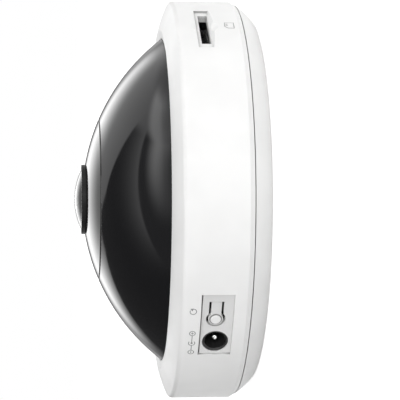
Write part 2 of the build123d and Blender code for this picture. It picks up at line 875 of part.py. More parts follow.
# Magnet rotor: its arm swings under the deck and its pin drives the frame
rest_turn = -90 - filter_half_turn
pin_x, pin_y = polar(arm_length, rest_turn)
with BuildPart() as ir_filter_rotor:
    with BuildSketch(Plane.XY.offset(deck_top + loose_gap)):
        with Locations((0, rotor_y)):
            Circle(rotor_radius)
    extrude(amount=rotor_height)
    with BuildSketch(Plane.XY.offset(arm_height)):
        with Locations((0, rotor_y)):
            Circle(rotor_shaft_radius)
    extrude(amount=deck_top + loose_gap - arm_height)
    with BuildSketch(Plane.XY.offset(arm_height)):
        with Locations(Location((pin_x / 2, rotor_y + pin_y / 2), rest_turn)):
            SlotCenterToCenter(arm_length, arm_width)
    extrude(amount=arm_thickness)
    with BuildSketch(Plane.XY.offset(filter_bottom + pin_clearance_height)):
        with Locations((pin_x, rotor_y + pin_y)):
            Circle(pin_radius)
    extrude(amount=arm_height - filter_bottom - pin_clearance_height)
save(ir_filter_rotor.part, "ir_filter_rotor")

# Coil round the rotor, on the holder's deck
with BuildPart() as ir_filter_coil:
    with BuildSketch(Plane.XY.offset(deck_top)):
        with Locations((0, rotor_y)):
            Circle(coil_outer_radius)
            Circle(coil_inner_radius, mode=Mode.SUBTRACT)
    extrude(amount=coil_height)
save(ir_filter_coil.part, "ir_filter_coil")

# Image sensor and its round board
with BuildPart() as image_sensor:
    with BuildSketch(Plane.XY.offset(sensor_board_top)):
        Rectangle(sensor_width, sensor_depth)
    extrude(amount=sensor_thickness)
save(image_sensor.part, "image_sensor")

with BuildPart() as sensor_board:
    with BuildSketch(Plane.XY.offset(sensor_board_bottom)):
        Circle(sensor_board_radius)
        with Locations(*holder_screw_places):
            Circle(small_screw_radius + seat_gap, mode=Mode.SUBTRACT)
    extrude(amount=board_thickness)
save(sensor_board.part, "sensor_board")

# Posts that carry the two front boards on the chassis
with BuildPart() as sensor_standoffs:
    with BuildSketch(Plane.XY.offset(chassis_top)):
        with quarter_points(sensor_standoff_circle, quarter_angle):
            RegularPolygon(standoff_radius, standoff_sides)
    extrude(amount=sensor_board_bottom - chassis_top)
save(sensor_standoffs.part, "sensor_standoffs")

with BuildPart() as led_standoffs:
    with BuildSketch(Plane.XY.offset(chassis_top)):
        with quarter_points(led_standoff_circle, quarter_angle):
            RegularPolygon(standoff_radius, standoff_sides)
    extrude(amount=sensor_board_bottom - chassis_top)
save(led_standoffs.part, "led_standoffs")

# Ring board with infrared lamps and a light sensor
with BuildPart() as led_board:
    with BuildSketch(Plane.XY.offset(sensor_board_bottom)):
        Circle(led_board_radius)
        Circle(led_board_inner_radius, mode=Mode.SUBTRACT)
    extrude(amount=board_thickness)
save(led_board.part, "led_board")

with BuildPart() as ir_leds:
    with BuildSketch(Plane.XY.offset(sensor_board_top)):
        with PolarLocations(led_circle, led_count):
            Rectangle(led_size, led_size)
    extrude(amount=led_base)
    with PolarLocations(led_circle, led_count):
        with Locations((0, 0, sensor_board_top + led_base)):
            Sphere(led_lens_radius, arc_size1=0)
save(ir_leds.part, "ir_leds")

with BuildPart() as light_sensor:
    with BuildSketch(Plane.XY.offset(sensor_board_top)):
        with Locations(polar(light_sensor_circle, -quarter_angle)):
            Circle(light_sensor_radius)
    extrude(amount=light_sensor_height)
    fillet(light_sensor.faces().sort_by(Axis.Z)[-1].edges(), light_sensor_radius / 2)
save(light_sensor.part, "light_sensor")

# Tube that keeps the lamps' light away from the lens
with BuildPart() as lens_shroud:
    with BuildSketch(Plane.XY.offset(chassis_top)):
        Circle(shroud_inner_radius + shroud_wall)
        Circle(shroud_inner_radius, mode=Mode.SUBTRACT)
    extrude(amount=cap_seat_bottom - chassis_top)
save(lens_shroud.part, "lens_shroud")

# Chassis: clamps the dome's flange and carries every board
with BuildPart() as chassis:
    with BuildSketch(Plane.XY.offset(chassis_bottom)):
        Circle(chassis_radius)
        Circle(chassis_hole_radius, mode=Mode.SUBTRACT)
        with quarter_points(chassis_screw_circle, chassis_screw_angle):
            Circle(screw_radius + seat_gap, mode=Mode.SUBTRACT)
    extrude(amount=chassis_thickness)
    with BuildSketch(Plane.XY.offset(main_board_top)):
        with quarter_points(board_screw_circle, quarter_angle):
            Circle(board_post_radius)
    extrude(amount=chassis_bottom - main_board_top)
    with BuildSketch(Plane.XY.offset(main_board_top)):
        with quarter_points(board_screw_circle, quarter_angle):
            Circle(screw_radius + pilot_gap)
    extrude(amount=chassis_top - main_board_top, mode=Mode.SUBTRACT)
    with BuildSketch(Plane.XY.offset(chassis_bottom)):
        for number in range(quarter_count):
            window_start = quarter_angle + chassis_window_offset + number * 360 / quarter_count
            add(
                ring_sector(
                    chassis_window_radius - chassis_window_width / 2,
                    chassis_window_radius + chassis_window_width / 2,
                    window_start,
                    window_start + chassis_window_sweep,
                )
            )
    extrude(amount=chassis_thickness, mode=Mode.SUBTRACT)
save(chassis.part, "chassis")

with BuildPart() as chassis_screws:
    with BuildSketch(Plane.XY.offset(chassis_bottom - screw_head_height)):
        with quarter_points(chassis_screw_circle, chassis_screw_angle):
            Circle(screw_head_radius)
    extrude(amount=screw_head_height)
    with BuildSketch(Plane.XY.offset(chassis_bottom)):
        with quarter_points(chassis_screw_circle, chassis_screw_angle):
            Circle(screw_radius)
    extrude(amount=chassis_thickness + chassis_screw_bite)
save(chassis_screws.part, "chassis_screws")

# Main board, with a tab under the ports and one at the card slot
with BuildPart() as main_board:
    with BuildSketch(Plane.XY.offset(main_board_bottom)):
        Circle(main_board_radius)
        with Locations(Location((0, 0), card_angle)):
            with Locations((0, -card_slot_shift - card_tab_width / 2)):
                Rectangle(card_tab_reach, card_tab_width, align=(Align.MIN, Align.MIN))
        with Locations(Location((0, 0), panel_angle)):
            with Locations((0, port_tab_start)):
                Rectangle(port_tab_reach, port_tab_end - port_tab_start, align=(Align.MIN, Align.MIN))
            with Locations((panel_pad_face - loose_gap - jack_depth - seat_gap, jack_offset)):
                Rectangle(
                    jack_depth + 2 * loose_gap,
                    jack_width + 2 * loose_gap,
                    align=(Align.MIN, Align.CENTER),
                    mode=Mode.SUBTRACT,
                )
        with quarter_points(board_screw_circle, quarter_angle):
            Circle(screw_radius + seat_gap, mode=Mode.SUBTRACT)
    extrude(amount=board_thickness)
save(main_board.part, "main_board")

board_screw_length = board_thickness + chassis_bottom - main_board_top + chassis_thickness / 2
with BuildPart() as board_screws:
    with BuildSketch(Plane.XY.offset(main_board_bottom - screw_head_height)):
        with quarter_points(board_screw_circle, quarter_angle):
            Circle(screw_head_radius)
    extrude(amount=screw_head_height)
    with BuildSketch(Plane.XY.offset(main_board_bottom)):
        with quarter_points(board_screw_circle, quarter_angle):
            Circle(screw_radius)
    extrude(amount=board_screw_length)
save(board_screws.part, "board_screws")

# Flat cable in a U bend between its two sockets, through the chassis's hole
upper_run = sensor_board_bottom - ribbon_socket_height / 2
lower_run = main_board_top + ribbon_socket_height / 2
bend_radius = (upper_run - lower_run) / 2
with BuildPart() as sensor_ribbon:
    with BuildSketch(Plane.XZ):
        with BuildLine():
            Line((ribbon_start, upper_run), (ribbon_turn, upper_run))
            CenterArc((ribbon_turn, upper_run - bend_radius), bend_radius, 90, -180)
            Line((ribbon_turn, lower_run), (ribbon_end, lower_run))
        trace(line_width=ribbon_thickness)
    extrude(amount=ribbon_width / 2, both=True)
save(sensor_ribbon.part, "sensor_ribbon")

upper_socket = (ribbon_start, sensor_board_bottom - ribbon_socket_height)
lower_socket = (ribbon_end, main_board_top)
with BuildPart() as ribbon_sockets:
    for mouth, bottom in (upper_socket, lower_socket):
        with BuildSketch(Plane.XY.offset(bottom)):
            with Locations((mouth, 0)):
                Rectangle(ribbon_socket_length, ribbon_socket_width, align=(Align.MAX, Align.CENTER))
        extrude(amount=ribbon_socket_height)
save(ribbon_sockets.part, "ribbon_sockets")

# Processor, soft pad and finned heat sink under the main board
processor_bottom = main_board_bottom - processor_thickness
pad_bottom = processor_bottom - pad_thickness
with BuildPart() as processor:
    with BuildSketch(Plane.XY.offset(processor_bottom)):
        with Locations((processor_x, processor_y)):
            Rectangle(processor_size, processor_size)
    extrude(amount=processor_thickness)
save(processor.part, "processor")

with BuildPart() as thermal_pad:
    with BuildSketch(Plane.XY.offset(pad_bottom)):
        with Locations((processor_x, processor_y)):
            Rectangle(processor_size, processor_size)
    extrude(amount=pad_thickness)
save(thermal_pad.part, "thermal_pad")

fin_pitch = (heat_sink_size - fin_thickness) / (fin_count - 1)
with BuildPart() as heat_sink:
    with BuildSketch(Plane.XY.offset(pad_bottom - heat_sink_base)):
        with Locations((processor_x, processor_y)):
            Rectangle(heat_sink_size, heat_sink_size)
    extrude(amount=heat_sink_base)
    with BuildSketch(Plane.XY.offset(pad_bottom - heat_sink_base - fin_height)):
        with Locations((processor_x, processor_y)):
            with GridLocations(fin_pitch, 0, fin_count, 1):
                Rectangle(fin_thickness, heat_sink_size)
    extrude(amount=fin_height)
save(heat_sink.part, "heat_sink")

with BuildPart() as capacitors:
    with BuildSketch(Plane.XY.offset(main_board_bottom - capacitor_height)):
        with Locations((capacitor_x, capacitor_y), (capacitor_x, capacitor_y + capacitor_spacing)):
            Circle(capacitor_radius)
    extrude(amount=capacitor_height)
save(capacitors.part, "capacitors")

# Port panel: a flat insert with the jack's hole and the opening round the tongue
panel_side_gap = (panel_front_gap + panel_gap) / 2
panel_shift = (panel_gap - panel_front_gap) / 2
with BuildPart() as port_panel:
    with BuildSketch(rim_plane(panel_angle, panel_back, 0)):
        with Locations((0, panel_height + panel_shift)):
            Rectangle(panel_length - 2 * panel_end_gap, panel_width - 2 * panel_side_gap)
        with Locations((jack_offset, jack_height)):
            Circle(jack_hole_radius, mode=Mode.SUBTRACT)
        with Locations((tongue_offset, tongue_height)):
            Circle(tongue_tip_radius + tongue_slot, mode=Mode.SUBTRACT)
            Rectangle(
                tongue_reach,
                2 * (tongue_half_width + tongue_slot),
                align=(Align.MIN, Align.CENTER),
                mode=Mode.SUBTRACT,
            )
    extrude(amount=panel_thickness)
save(port_panel.part, "port_panel")

# Reset tongue: it bends inwards about its root and its nub presses the switch
with BuildPart() as reset_tongue:
    with BuildSketch(rim_plane(panel_angle, panel_face, 0)):
        with Locations((tongue_offset, tongue_height)):
            Circle(tongue_tip_radius)
            Rectangle(
                tongue_reach - tongue_root_gap,
                2 * tongue_half_width,
                align=(Align.MIN, Align.CENTER),
            )
    extrude(amount=-tongue_thickness)
    with BuildSketch(rim_plane(panel_angle, panel_face - tongue_thickness, 0)):
        with Locations((tongue_offset, tongue_height)):
            Circle(tongue_nub_radius)
    extrude(amount=-tongue_nub_length)
    with BuildSketch(rim_plane(panel_angle, panel_face, 0)):
        with Locations((tongue_offset, tongue_height)):
            Circle(dot_radius + dot_groove)
    extrude(amount=-dot_groove_depth, mode=Mode.SUBTRACT)
    with BuildSketch(rim_plane(panel_angle, panel_face - dot_groove_depth, 0)):
        with Locations((tongue_offset, tongue_height)):
            Circle(dot_radius)
    extrude(amount=dot_groove_depth + dot_height)
    outward = Axis((0, 0, 0), (*polar(1, panel_angle), 0))
    fillet(reset_tongue.faces().sort_by(outward)[-1].edges(), dot_round)
save(reset_tongue.part, "reset_tongue")

# Side-push switch behind the tongue
nub_tip = panel_face - tongue_thickness - tongue_nub_length
plunger_tip = nub_tip - plunger_gap
switch_half_height = main_board_bottom - tongue_height
with BuildPart() as reset_switch_body:
    with BuildSketch(rim_plane(panel_angle, switch_face - switch_depth, 0)):
        with Locations((tongue_offset, tongue_height)):
            Rectangle(switch_width, 2 * switch_half_height)
    extrude(amount=switch_depth)
    with BuildSketch(rim_plane(panel_angle, switch_face, 0)):
        with Locations((tongue_offset, tongue_height)):
            Circle(plunger_radius + plunger_bore_gap)
    extrude(amount=-plunger_tail - reset_travel - seat_gap, mode=Mode.SUBTRACT)
save(reset_switch_body.part, "reset_switch_body")

with BuildPart() as reset_switch_plunger:
    with BuildSketch(rim_plane(panel_angle, switch_face - plunger_tail, 0)):
        with Locations((tongue_offset, tongue_height)):
            Circle(plunger_radius)
    extrude(amount=plunger_tip - switch_face + plunger_tail)
save(reset_switch_plunger.part, "reset_switch_plunger")

# Power jack: round barrel in the panel's hole, square body with ears under the main board
jack_front = panel_pad_face - loose_gap
with BuildPart() as dc_jack_body:
    with BuildSketch(rim_plane(panel_angle, jack_front, 0)):
        with Locations((jack_offset, jack_height)):
            Rectangle(jack_width, jack_tall)
    extrude(amount=-jack_depth)
    with BuildSketch(rim_plane(panel_angle, jack_front - jack_ear_setback, 0)):
        with Locations((jack_offset, main_board_bottom)):
            Rectangle(jack_width + 2 * jack_ear, jack_ear, align=(Align.CENTER, Align.MAX))
    extrude(amount=-jack_ear_length)
    with BuildSketch(rim_plane(panel_angle, jack_front, 0)):
        with Locations((jack_offset, jack_height)):
            Circle(jack_barrel_radius)
    extrude(amount=jack_face - jack_front)
    with BuildSketch(rim_plane(panel_angle, jack_face, 0)):
        with Locations((jack_offset, jack_height)):
            Circle(jack_bore_radius)
    extrude(amount=-jack_bore_depth, mode=Mode.SUBTRACT)
    with BuildSketch(rim_plane(panel_angle, jack_face - jack_bore_depth, 0)):
        with Locations((jack_offset, jack_height)):
            Circle(jack_pin_radius + pilot_gap)
    extrude(amount=-jack_depth, mode=Mode.SUBTRACT)
    jack_mouth = dc_jack_body.faces().sort_by(outward)[-1].inner_wires()[0]
    chamfer(jack_mouth.edges(), jack_chamfer)
save(dc_jack_body.part, "dc_jack_body")

# Its centre pin, held in the jack's back wall
jack_pin_tip = panel_face - jack_pin_drop
jack_pin_back = jack_front - jack_depth - jack_pin_tail
with BuildPart() as dc_jack_pin:
    with BuildSketch(rim_plane(panel_angle, jack_pin_back, 0)):
        with Locations((jack_offset, jack_height)):
            Circle(jack_pin_radius)
    extrude(amount=jack_pin_tip - jack_pin_back)
    fillet(dc_jack_pin.faces().sort_by(outward)[-1].edges(), jack_pin_round)
save(dc_jack_pin.part, "dc_jack_pin")

# Card socket: black base on the board, folded metal cover with a flared lip, sprung carriage
socket_bottom = main_board_bottom - socket_height
socket_back = socket_face - socket_length
cavity_bottom = socket_bottom + socket_sheet
cavity_top = main_board_bottom - socket_base_thickness
with BuildPart() as card_socket_base:
    with BuildSketch(rim_plane(card_angle, socket_back, cavity_top)):
        with Locations((card_slot_shift, 0)):
            Rectangle(socket_width, socket_base_thickness, align=(Align.CENTER, Align.MIN))
    extrude(amount=socket_length)
save(card_socket_base.part, "card_socket_base")

with BuildPart() as card_socket_shell:
    with BuildSketch(rim_plane(card_angle, socket_back, socket_bottom)):
        with Locations((card_slot_shift, 0)):
            Rectangle(socket_width, cavity_top - socket_bottom, align=(Align.CENTER, Align.MIN))
    extrude(amount=socket_length)
    with BuildSketch(rim_plane(card_angle, socket_back + socket_sheet, cavity_bottom)):
        with Locations((card_slot_shift, 0)):
            Rectangle(
                socket_width - 2 * socket_sheet,
                cavity_top - cavity_bottom,
                align=(Align.CENTER, Align.MIN),
            )
    extrude(amount=socket_length, mode=Mode.SUBTRACT)
    with BuildSketch(rim_plane(card_angle - 90, 0, socket_bottom)) as lip_section:
        with BuildLine():
            Polyline(
                (socket_face, 0),
                (socket_face, socket_sheet),
                (socket_face + socket_lip, socket_sheet - socket_lip),
                (socket_face + socket_lip, -socket_lip),
                (socket_face, 0),
            )
        make_face()
    lip_middle = card_slot_shift
    lip_half = socket_width / 2 - socket_sheet
    extrude(amount=lip_half - lip_middle)
    extrude(lip_section.sketch, amount=-lip_half - lip_middle)
save(card_socket_shell.part, "card_socket_shell")

carriage_height = cavity_top - cavity_bottom - 2 * carriage_gap
carriage_side = card_slot_shift + socket_width / 2 - socket_sheet - carriage_gap
carriage_back = socket_back + socket_sheet + carriage_travel + loose_gap
with BuildPart() as card_carriage:
    with BuildSketch(rim_plane(card_angle, carriage_back, cavity_bottom + carriage_gap)):
        with Locations((carriage_side, 0)):
            Rectangle(carriage_width, carriage_height, align=(Align.MAX, Align.MIN))
    extrude(amount=carriage_length)
    with BuildSketch(rim_plane(card_angle, carriage_back, cavity_bottom + carriage_gap)):
        with Locations((carriage_side, 0)):
            Rectangle(carriage_arm_reach, carriage_height, align=(Align.MAX, Align.MIN))
    extrude(amount=carriage_arm)
save(card_carriage.part, "card_carriage")

# Network socket at the centre of the back: metal can, moulded insert and spring contacts
insert_bottom = network_bottom + network_sheet
latch_edge = network_mouth_height / 2 + network_latch_height
with BuildPart() as ethernet_shell:
    with BuildSketch(Plane.XY.offset(network_bottom)):
        Rectangle(network_width, network_depth)
    extrude(amount=network_height)
    with BuildSketch(Plane.XY.offset(insert_bottom)):
        Rectangle(network_width - 2 * network_sheet, network_depth - 2 * network_sheet)
    extrude(amount=network_height, mode=Mode.SUBTRACT)
    with BuildSketch(Plane.XY.offset(network_bottom)):
        Rectangle(network_mouth_width, network_mouth_height)
        with Locations((0, latch_edge)):
            Rectangle(network_latch_width, latch_edge, align=(Align.CENTER, Align.MAX))
    extrude(amount=network_sheet, mode=Mode.SUBTRACT)
save(ethernet_shell.part, "ethernet_shell")

insert_margin = network_sheet + seat_gap
with BuildPart() as ethernet_insert:
    with BuildSketch(Plane.XY.offset(insert_bottom)):
        Rectangle(network_width - 2 * insert_margin, network_depth - 2 * insert_margin)
    extrude(amount=main_board_bottom - insert_bottom)
    with BuildSketch(Plane.XY.offset(insert_bottom)):
        Rectangle(network_mouth_width, network_mouth_height)
        with Locations((0, latch_edge)):
            Rectangle(network_latch_width, latch_edge, align=(Align.CENTER, Align.MAX))
    extrude(amount=network_cavity, mode=Mode.SUBTRACT)
save(ethernet_insert.part, "ethernet_insert")

contact_wall = -network_mouth_height / 2
contact_root = insert_bottom + network_cavity
contact_tip = contact_root - contact_reach
with BuildPart() as ethernet_contacts:
    first_contact = -contact_pitch * (contact_count - 1) / 2
    for number in range(contact_count):
        contact_side = first_contact + number * contact_pitch
        with BuildSketch(Plane.YZ.offset(contact_side)):
            with BuildLine():
                Polyline(
                    (contact_wall, contact_root),
                    (contact_wall + contact_thickness, contact_root),
                    (contact_wall + contact_rise / 2, contact_tip),
                    (contact_wall + contact_rise / 2 - contact_thickness, contact_tip),
                    (contact_wall, contact_root),
                )
            make_face()
        extrude(amount=contact_width / 2, both=True)
save(ethernet_contacts.part, "ethernet_contacts")

# Rear cover: tapered dish with a recess for the mounting plate and a spigot in the housing
cover_top = seam_height - seam_gap
taper_middle = (
    (seam_radius + back_radius) / 2 + back_bulge,
    cover_top / 2 - back_bulge,
)
taper_length = hypot(seam_radius - back_radius, cover_top)
wall_run = cover_floor * taper_length / cover_top
spigot_radius = housing_inner_radius - loose_gap
with BuildPart() as rear_cover:
    with BuildSketch(Plane.XZ) as cover_profile:
        with BuildLine():
            ThreePointArc((seam_radius, cover_top), taper_middle, (back_radius, 0))
            Polyline(
                (back_radius, 0),
                (recess_radius, 0),
                (recess_radius, recess_height),
                (0, recess_height),
                (0, recess_top),
                (recess_wall_radius, recess_top),
                (recess_wall_radius, cover_floor),
                (back_radius - wall_run / 2, cover_floor),
                (spigot_radius - spigot_wall, cover_top),
                (spigot_radius - spigot_wall, cover_top + spigot_height),
                (spigot_radius, cover_top + spigot_height),
                (spigot_radius, cover_top),
                (seam_radius, cover_top),
            )
        make_face()
        fillet(cover_profile.vertices().sort_by_distance((back_radius, 0))[0], back_round)
    revolve(axis=Axis.Z)

    # Screw posts with sunk heads
    with BuildSketch(Plane.XY.offset(cover_floor)):
        with quarter_points(cover_screw_circle, quarter_angle):
            Circle(cover_boss_radius)
    extrude(amount=recess_top - cover_floor)
    with BuildSketch():
        with quarter_points(cover_screw_circle, quarter_angle):
            Circle(cover_screw_radius + seat_gap)
    extrude(amount=recess_top, mode=Mode.SUBTRACT)
    with BuildSketch():
        with quarter_points(cover_screw_circle, quarter_angle):
            Circle(cover_head_radius + loose_gap)
    extrude(amount=cover_head_drop + cover_head_height, mode=Mode.SUBTRACT)

    # Gaps in the spigot where the housing's webs pass
    with BuildSketch(Plane.XY.offset(recess_top)):
        with quarter_points(spigot_radius, quarter_angle):
            Rectangle(spigot_notch, web_thickness + 2 * loose_gap)
    extrude(amount=spigot_height, mode=Mode.SUBTRACT)

    # Window for the network plug
    with BuildSketch(Plane.XY.offset(recess_height)) as plug_window:
        Rectangle(plug_window_width, plug_window_depth)
        fillet(plug_window.vertices(), window_round)
    extrude(amount=recess_floor, mode=Mode.SUBTRACT)

    # Keyhole slots for the plate's lugs: a narrow run that ends in a wide window
    for number in range(lug_count):
        lug_place = lug_angle + number * 360 / lug_count
        with BuildSketch(Plane.XY.offset(recess_height)):
            add(
                ring_sector(
                    lug_circle - stem_width / 2 - slot_side_gap,
                    lug_circle + stem_width / 2 + slot_side_gap,
                    lug_place - stem_sweep / 2 - slot_end_sweep,
                    lug_place + lock_turn,
                )
            )
            add(
                ring_sector(
                    lug_circle - head_width / 2 - slot_side_gap,
                    lug_circle + head_width / 2 + slot_side_gap,
                    lug_place + lock_turn - head_sweep / 2 - slot_end_sweep,
                    lug_place + lock_turn + head_sweep / 2 + slot_end_sweep,
                )
            )
        extrude(amount=recess_floor, mode=Mode.SUBTRACT)
save(rear_cover.part, "rear_cover")

with BuildPart() as cover_screws:
    with BuildSketch(Plane.XY.offset(cover_head_drop)):
        with quarter_points(cover_screw_circle, quarter_angle):
            Circle(cover_head_radius)
    extrude(amount=cover_head_height)
    with BuildSketch(Plane.XY.offset(cover_head_drop + cover_head_height)):
        with quarter_points(cover_screw_circle, quarter_angle):
            Circle(cover_screw_radius)
    extrude(amount=cover_screw_top - cover_head_drop - cover_head_height)
save(cover_screws.part, "cover_screws")

# Mounting plate: screwed to the ceiling, it holds the camera by three hooked lugs
lug_head_bottom = recess_top + loose_gap
with BuildPart() as mount_plate:
    with BuildSketch():
        Circle(plate_radius)
    extrude(amount=plate_thickness)
    with BuildSketch(Plane.XY.offset(plate_thickness)):
        Circle(cable_hole_radius + collar_wall)
    extrude(amount=recess_height - loose_gap - plate_thickness)
    for number in range(lug_count):
        lug_place = lug_angle + number * 360 / lug_count
        with BuildSketch(Plane.XY.offset(plate_thickness)):
            add(
                ring_sector(
                    lug_circle - stem_width / 2,
                    lug_circle + stem_width / 2,
                    lug_place - stem_sweep / 2,
                    lug_place + stem_sweep / 2,
                )
            )
        extrude(amount=lug_head_bottom - plate_thickness)
        with BuildSketch(Plane.XY.offset(lug_head_bottom)):
            add(
                ring_sector(
                    lug_circle - head_width / 2,
                    lug_circle + head_width / 2,
                    lug_place - head_sweep / 2,
                    lug_place + head_sweep / 2,
                )
            )
        extrude(amount=head_thickness)
    with BuildSketch():
        Circle(cable_hole_radius)
    extrude(amount=recess_height, mode=Mode.SUBTRACT)
    with Locations(Plane.XY.offset(plate_thickness)):
        with Locations(
            (wall_hole_spacing / 2, 0),
            (-wall_hole_spacing / 2, 0),
            (0, box_hole_spacing / 2),
            (0, -box_hole_spacing / 2),
        ):
            CounterSinkHole(
                wall_hole_radius,
                wall_hole_sink_radius,
                depth=plate_thickness,
                counter_sink_angle=wall_hole_sink_angle,
            )
save(mount_plate.part, "mount_plate")
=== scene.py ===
from math import cos, radians, sin

import bmesh
import bpy
from mathutils import Matrix, Vector


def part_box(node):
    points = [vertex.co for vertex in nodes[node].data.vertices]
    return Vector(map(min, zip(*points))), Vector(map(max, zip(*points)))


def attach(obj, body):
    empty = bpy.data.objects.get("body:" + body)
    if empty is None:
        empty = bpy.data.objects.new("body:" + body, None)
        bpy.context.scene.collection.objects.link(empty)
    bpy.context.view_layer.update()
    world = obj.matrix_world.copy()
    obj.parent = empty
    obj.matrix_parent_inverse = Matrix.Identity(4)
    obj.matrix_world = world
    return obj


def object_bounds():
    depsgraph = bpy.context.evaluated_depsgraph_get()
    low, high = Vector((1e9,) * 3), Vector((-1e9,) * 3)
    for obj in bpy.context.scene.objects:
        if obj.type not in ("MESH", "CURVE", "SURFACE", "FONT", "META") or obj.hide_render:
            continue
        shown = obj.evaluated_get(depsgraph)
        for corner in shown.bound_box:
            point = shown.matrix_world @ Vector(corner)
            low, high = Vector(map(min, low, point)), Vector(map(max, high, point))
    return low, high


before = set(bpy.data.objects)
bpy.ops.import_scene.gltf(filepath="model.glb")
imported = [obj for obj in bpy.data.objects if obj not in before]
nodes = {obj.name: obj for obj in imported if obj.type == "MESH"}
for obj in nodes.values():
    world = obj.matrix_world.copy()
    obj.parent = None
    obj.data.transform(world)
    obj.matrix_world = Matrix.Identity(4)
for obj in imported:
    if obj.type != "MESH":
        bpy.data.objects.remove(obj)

cad_low, cad_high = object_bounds()

MM = 0.001
MICRON = 0.000001
WHITE = (1, 1, 1, 1)

# The photograph's view: a long lens close to square on to the side, with the lens axis to the left
VIEW_TILT = radians(5.722)
VIEW_SENSOR = 36.0
VIEW_FOCAL = 133.87
VIEW_CLIP = 0.01
VIEW_PLACE = Vector((-0.0002, -0.4902, 0.06465))
PICTURE_UP = Vector((1, 0, 0))
PICTURE_RIGHT = Vector((0, -sin(VIEW_TILT), -cos(VIEW_TILT)))
TO_VIEWER = Vector((0, -cos(VIEW_TILT), sin(VIEW_TILT)))


def place_camera():
    """The camera of the photograph."""
    data = bpy.data.cameras.new("view")
    data.sensor_width = VIEW_SENSOR
    data.lens = VIEW_FOCAL
    data.clip_start = VIEW_CLIP
    camera = bpy.data.objects.new("view", data)
    turn = Matrix((PICTURE_RIGHT, PICTURE_UP, TO_VIEWER)).transposed()
    camera.matrix_world = Matrix.Translation(VIEW_PLACE) @ turn.to_4x4()
    bpy.context.collection.objects.link(camera)
    bpy.context.scene.camera = camera


# How a fold is told from an open face, for the painted tones in creases (painted shade, and a painted
# lighter ring in the jack): rays, and the open part of them that counts as 0 and as 1
CREASE_SAMPLES = 8
CREASE_RANGE = (0.45, 1.0)


class Graph:
    """Short words for building a node tree."""

    def __init__(self, tree):
        self.tree = tree
        tree.nodes.clear()

    def add(self, kind, **settings):
        node = self.tree.nodes.new(kind)
        for key, value in settings.items():
            setattr(node, key, value)
        return node

    def link(self, source, target):
        self.tree.links.new(source, target)

    def feed(self, socket, value):
        """A number or colour is set on the socket, and an output is linked to it."""
        if isinstance(value, bpy.types.NodeSocket):
            self.link(value, socket)
        else:
            socket.default_value = value

    def math(self, operation, first, second=0.0):
        node = self.add("ShaderNodeMath", operation=operation)
        self.feed(node.inputs[0], first)
        self.feed(node.inputs[1], second)
        return node.outputs[0]

    def plus(self, first, *others):
        for other in others:
            first = self.math("ADD", first, other)
        return first

    def minus(self, first, second):
        return self.math("SUBTRACT", first, second)

    def times(self, first, *others):
        for other in others:
            first = self.math("MULTIPLY", first, other)
        return first

    def line(self, value, slope, start):
        """Goes up by slope for each 1 of value, from start where value is 0."""
        return self.plus(self.times(value, slope), start)

    def dot(self, vector, axis):
        node = self.add("ShaderNodeVectorMath", operation="DOT_PRODUCT")
        self.feed(node.inputs[0], vector)
        self.feed(node.inputs[1], tuple(axis))
        return node.outputs["Value"]

    def step(self, value, start, end, low=0.0, high=1.0):
        """Goes smoothly from low to high as value goes from start to end."""
        node = self.add("ShaderNodeMapRange", interpolation_type="SMOOTHSTEP")
        self.feed(node.inputs["Value"], value)
        self.feed(node.inputs["From Min"], start)
        self.feed(node.inputs["From Max"], end)
        self.feed(node.inputs["To Min"], low)
        self.feed(node.inputs["To Max"], high)
        return node.outputs["Result"]

    def blend(self, share, first, second):
        node = self.add("ShaderNodeMix", data_type="FLOAT")
        self.feed(node.inputs["Factor"], share)
        self.feed(node.inputs["A"], first)
        self.feed(node.inputs["B"], second)
        return node.outputs["Result"]

    def colours(self, share, first, second):
        """Each colour is three numbers or an output."""
        node = self.add("ShaderNodeMix", data_type="RGBA")
        self.feed(node.inputs["Factor"], share)
        for name, colour in (("A", first), ("B", second)):
            linked = isinstance(colour, bpy.types.NodeSocket)
            self.feed(node.inputs[name], colour if linked else (*colour, 1))
        return node.outputs["Result"]

    def seen_by(self, *kinds):
        """1 for rays of these kinds and 0 for all others."""
        path = self.add("ShaderNodeLightPath")
        share = path.outputs[kinds[0]]
        for kind in kinds[1:]:
            share = self.math("MAXIMUM", share, path.outputs[kind])
        return share

    def place(self):
        """Where a point is in its piece's frame, which is the part's frame at rest."""
        return self.add("ShaderNodeTexCoord").outputs["Object"]

    def noise(self, scale, detail):
        node = self.add("ShaderNodeTexNoise")
        self.link(self.place(), node.inputs["Vector"])
        node.inputs["Scale"].default_value = scale
        node.inputs["Detail"].default_value = detail
        return node.outputs["Fac"]

    def open_share(self, reach):
        """From 0 in a narrow fold to 1 on an open face, by ambient occlusion: the mask of the painted tones
        in creases.
        """
        node = self.add("ShaderNodeAmbientOcclusion", samples=CREASE_SAMPLES, only_local=True)
        node.inputs["Distance"].default_value = reach
        return self.step(node.outputs["AO"], *CREASE_RANGE)

    def off_axis(self):
        """Distance from the lens's axis."""
        flat = self.add("ShaderNodeVectorMath", operation="MULTIPLY")
        self.link(self.place(), flat.inputs[0])
        flat.inputs[1].default_value = (1, 1, 0)
        node = self.add("ShaderNodeVectorMath", operation="LENGTH")
        self.link(flat.outputs["Vector"], node.inputs[0])
        return node.outputs["Value"]


# Light round the object, by direction. Places, blurs and ranges are parts of a unit vector's reach to
# the picture's top (up), to the viewer (near) or to the picture's right (across). A level of 1 is white.
DARK_SIDE = 0.08
BACKDROP_EDGE = -0.525
BACKDROP_SLOPE = 0.55
BACKDROP_BLUR = 0.01
BACKDROP_LOW = 0.78
BACKDROP_HIGH = 1.0
BACKDROP_RISE = (0.0, 0.4)
BACKDROP_FOOT = 0.65
BACKDROP_FAR = 3.0
BACKDROP_FOOT_RANGE = (-0.24, -0.42)
BACKDROP_FAR_RANGE = (-0.62, -0.89)
BACKDROP_LOW_RANGE = (-0.50, -0.22)
BACKDROP_END_RANGE = (-0.985, -0.945)


